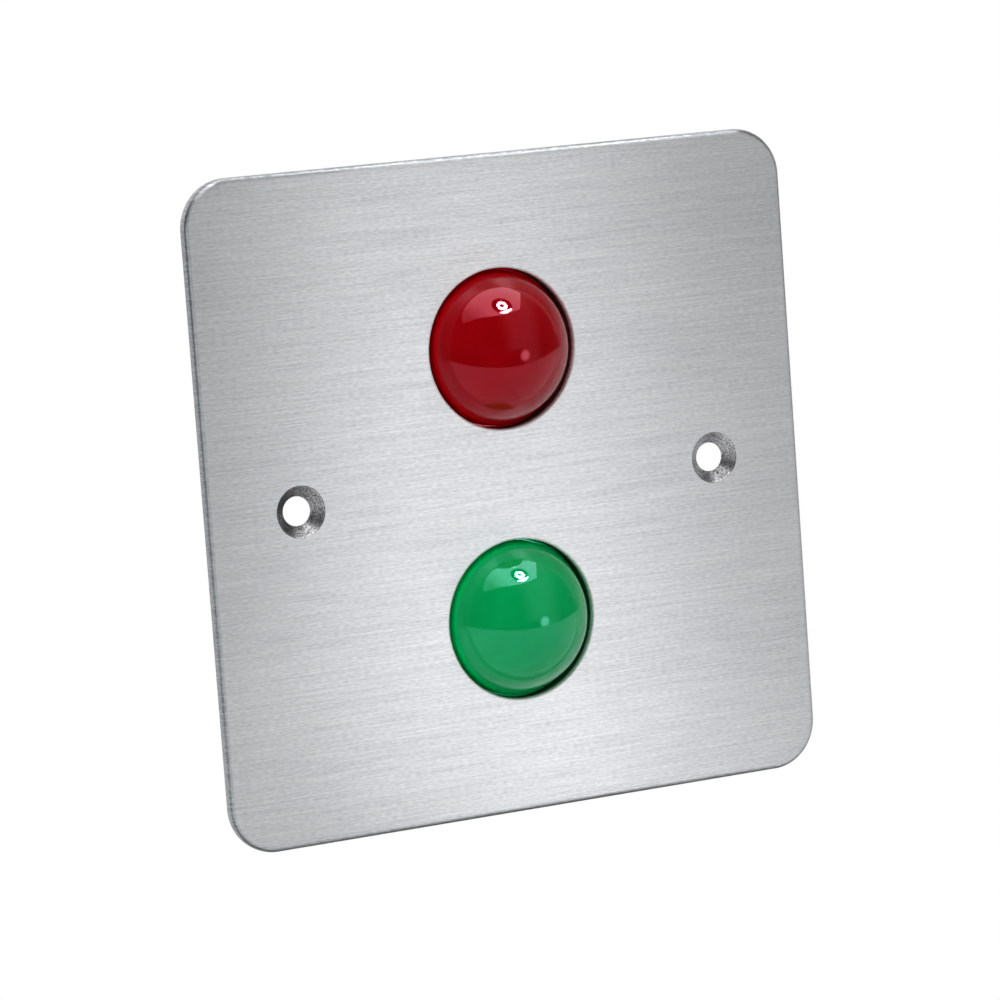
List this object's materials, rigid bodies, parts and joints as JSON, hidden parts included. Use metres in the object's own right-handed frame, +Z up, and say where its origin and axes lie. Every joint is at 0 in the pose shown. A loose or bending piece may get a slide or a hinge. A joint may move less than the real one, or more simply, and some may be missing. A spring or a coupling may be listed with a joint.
{
  "type": "push button wall plate",
  "caption": "Square brushed steel wall plate with a red and a green domed push button that light up, travel and spring back, and screw terminals behind.",
  "frame": {"origin": "centre of the plate's back face, which lies against the wall or the rim of the wall box", "axes": "+Y into the wall, the way a button is pressed; +Z up; +X to the right seen from the front"},
  "size_m": [0.086, 0.0405, 0.086],
  "materials": {
    "plate": "brushed along the plate's width",
    "plated": "bright plated",
    "brass": "nickel-free turned brass",
    "red_lens": "polished translucent",
    "green_lens": "polished translucent",
    "diffuser": "opal",
    "housing": "fine moulded",
    "switch": "moulded",
    "seal": "matt",
    "red_lamp": "clear tinted",
    "green_lamp": "clear tinted",
    "board": "solder-masked laminate",
    "terminal": "moulded",
    "resistor": "glazed chip with tinned ends"
  },
  "bodies": {
    "base": {"faceplate": "plate", "weld_stud_1": "plated", "weld_stud_2": "plated", "weld_stud_3": "plated", "weld_stud_4": "plated", "red_seal": "seal", "red_housing": "housing", "red_spring": "plated", "red_switch_body": "switch", "red_led_left": "red_lamp", "red_led_right": "red_lamp", "red_resistor": "resistor", "green_seal": "seal", "green_housing": "housing", "green_spring": "plated", "green_switch_body": "switch", "green_led_left": "green_lamp", "green_led_right": "green_lamp", "green_resistor": "resistor", "circuit_board": "board", "spacer_1": "brass", "spacer_2": "brass", "spacer_3": "brass", "spacer_4": "brass", "washer_1": "plated", "washer_2": "plated", "washer_3": "plated", "washer_4": "plated", "nut_1": "plated", "nut_2": "plated", "nut_3": "plated", "nut_4": "plated", "terminal_block": "terminal", "terminal_screw_1": "plated", "terminal_screw_2": "plated", "terminal_screw_3": "plated", "terminal_screw_4": "plated", "terminal_clamp_1": "brass", "terminal_clamp_2": "brass", "terminal_clamp_3": "brass", "terminal_clamp_4": "brass"},
    "red_button": {"red_lens": "red_lens", "red_diffuser": "diffuser", "red_switch_stem": "switch"},
    "green_button": {"green_lens": "green_lens", "green_diffuser": "diffuser", "green_switch_stem": "switch"}
  },
  "joints": [
    {"name": "red_press", "type": "slide", "parent": "base", "child": "red_button", "axis": [0, 1, 0], "range_m": [0, 0.0025], "stiffness_N_per_m": 600, "springref_m": -0.0005, "deforming": ["red_spring"]},
    {"name": "green_press", "type": "slide", "parent": "base", "child": "green_button", "axis": [0, 1, 0], "range_m": [0, 0.0025], "stiffness_N_per_m": 600, "springref_m": -0.0005, "deforming": ["green_spring"]}
  ]
}
